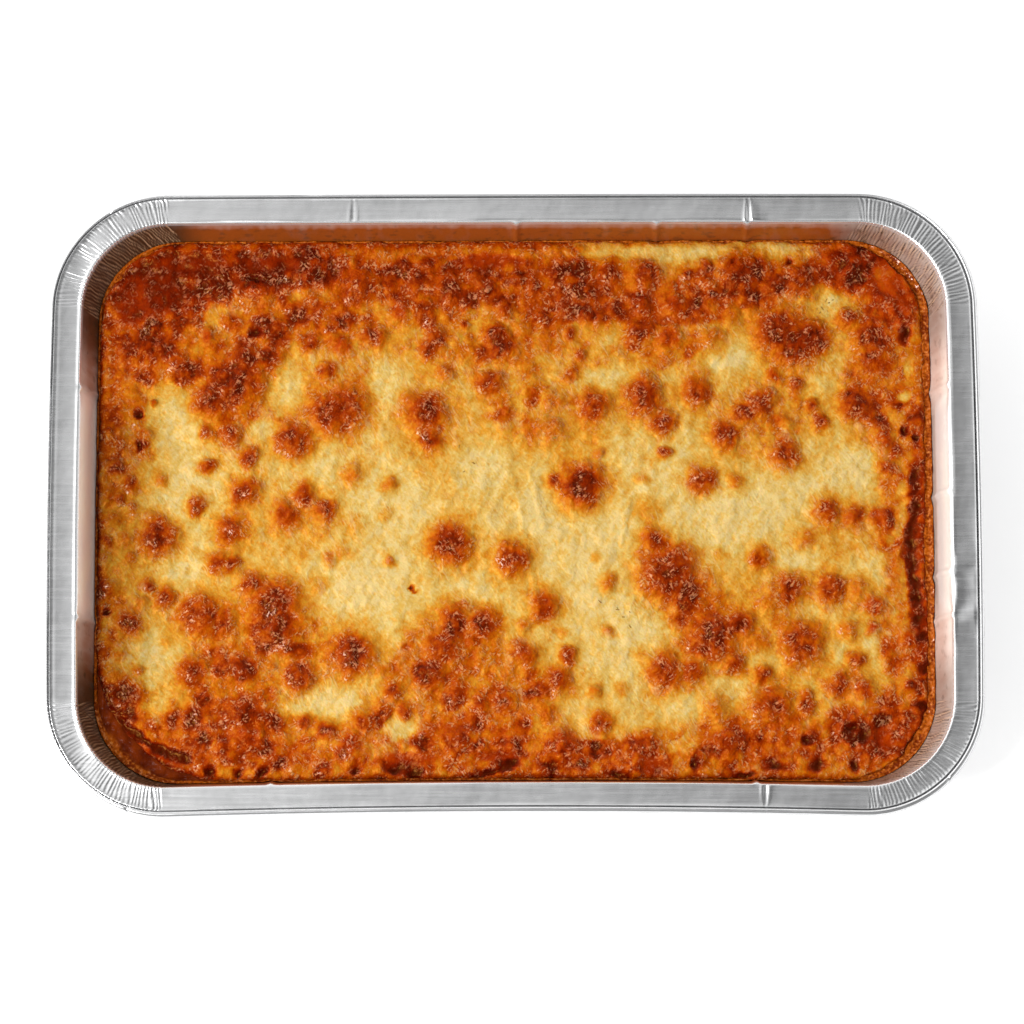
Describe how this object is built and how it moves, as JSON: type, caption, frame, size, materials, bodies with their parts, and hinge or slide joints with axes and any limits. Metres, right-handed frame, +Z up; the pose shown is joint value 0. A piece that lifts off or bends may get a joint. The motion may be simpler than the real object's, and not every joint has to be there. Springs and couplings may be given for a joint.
{
  "type": "foil tray meal",
  "caption": "Oblong pleated foil tray with rolled rim, filled with a baked meat-sauce pasta dish under a blistered, browned cheese top.",
  "frame": {"origin": "centre of the tray's flat underside, which is the bottom centre of the bounding box", "axes": "+X along the tray's long side, +Y across it towards the far long side, +Z up out of the tray"},
  "size_m": [0.315, 0.214, 0.045],
  "materials": {
    "foil": "thin satin rolled foil with soft reflections, finely pleated at the corners",
    "sauce": null,
    "cheese": null
  },
  "bodies": {
    "root": {"foil_tray": "foil", "sauce_filling": "sauce", "cheese_topping": "cheese"}
  },
  "joints": []
}
